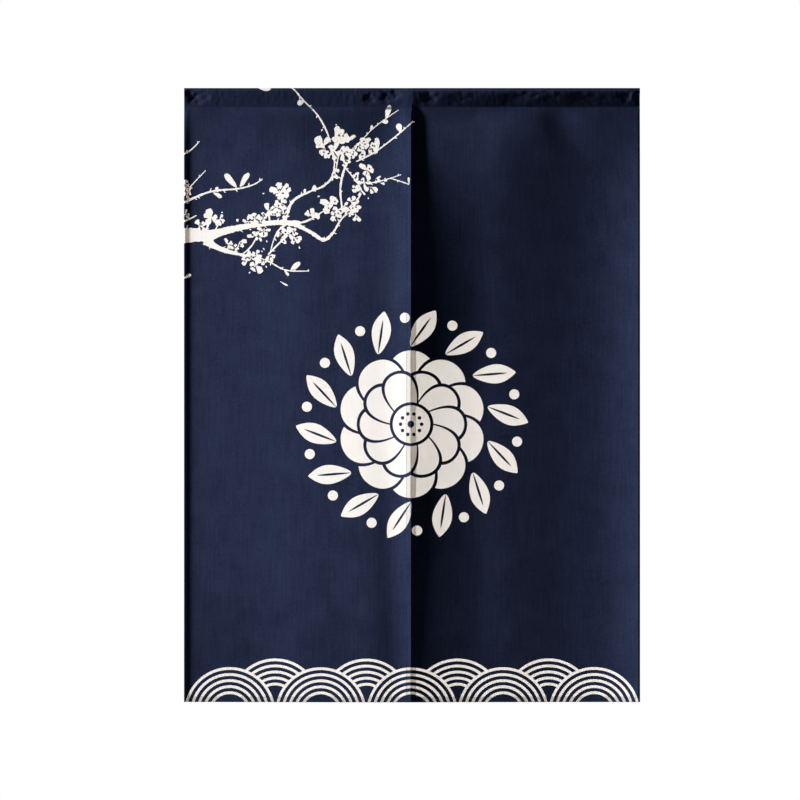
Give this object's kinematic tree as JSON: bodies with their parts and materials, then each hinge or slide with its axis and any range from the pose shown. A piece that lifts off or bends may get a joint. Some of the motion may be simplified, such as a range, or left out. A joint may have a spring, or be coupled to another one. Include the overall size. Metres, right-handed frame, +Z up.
{
  "type": "partition curtain",
  "caption": "Split doorway curtain of navy cotton cloth with a cream print, hemmed all round, its top folded into a rod sleeve; hangs as a light partition across a doorway.",
  "frame": {"origin": "middle of the top edge, above the slit, where the curtain hangs on its rod", "axes": "+Z up, +X to the right as seen from the printed face, +Y from the printed face to the back"},
  "size_m": [0.89, 0.0486, 1.2],
  "materials": {
    "printed_cotton": "matt plain-woven cotton-linen, dyed navy with a cream print"
  },
  "bodies": {
    "root": {"panel_left": "printed_cotton", "panel_right": "printed_cotton", "sleeve_left": "printed_cotton", "sleeve_right": "printed_cotton"}
  },
  "joints": []
}
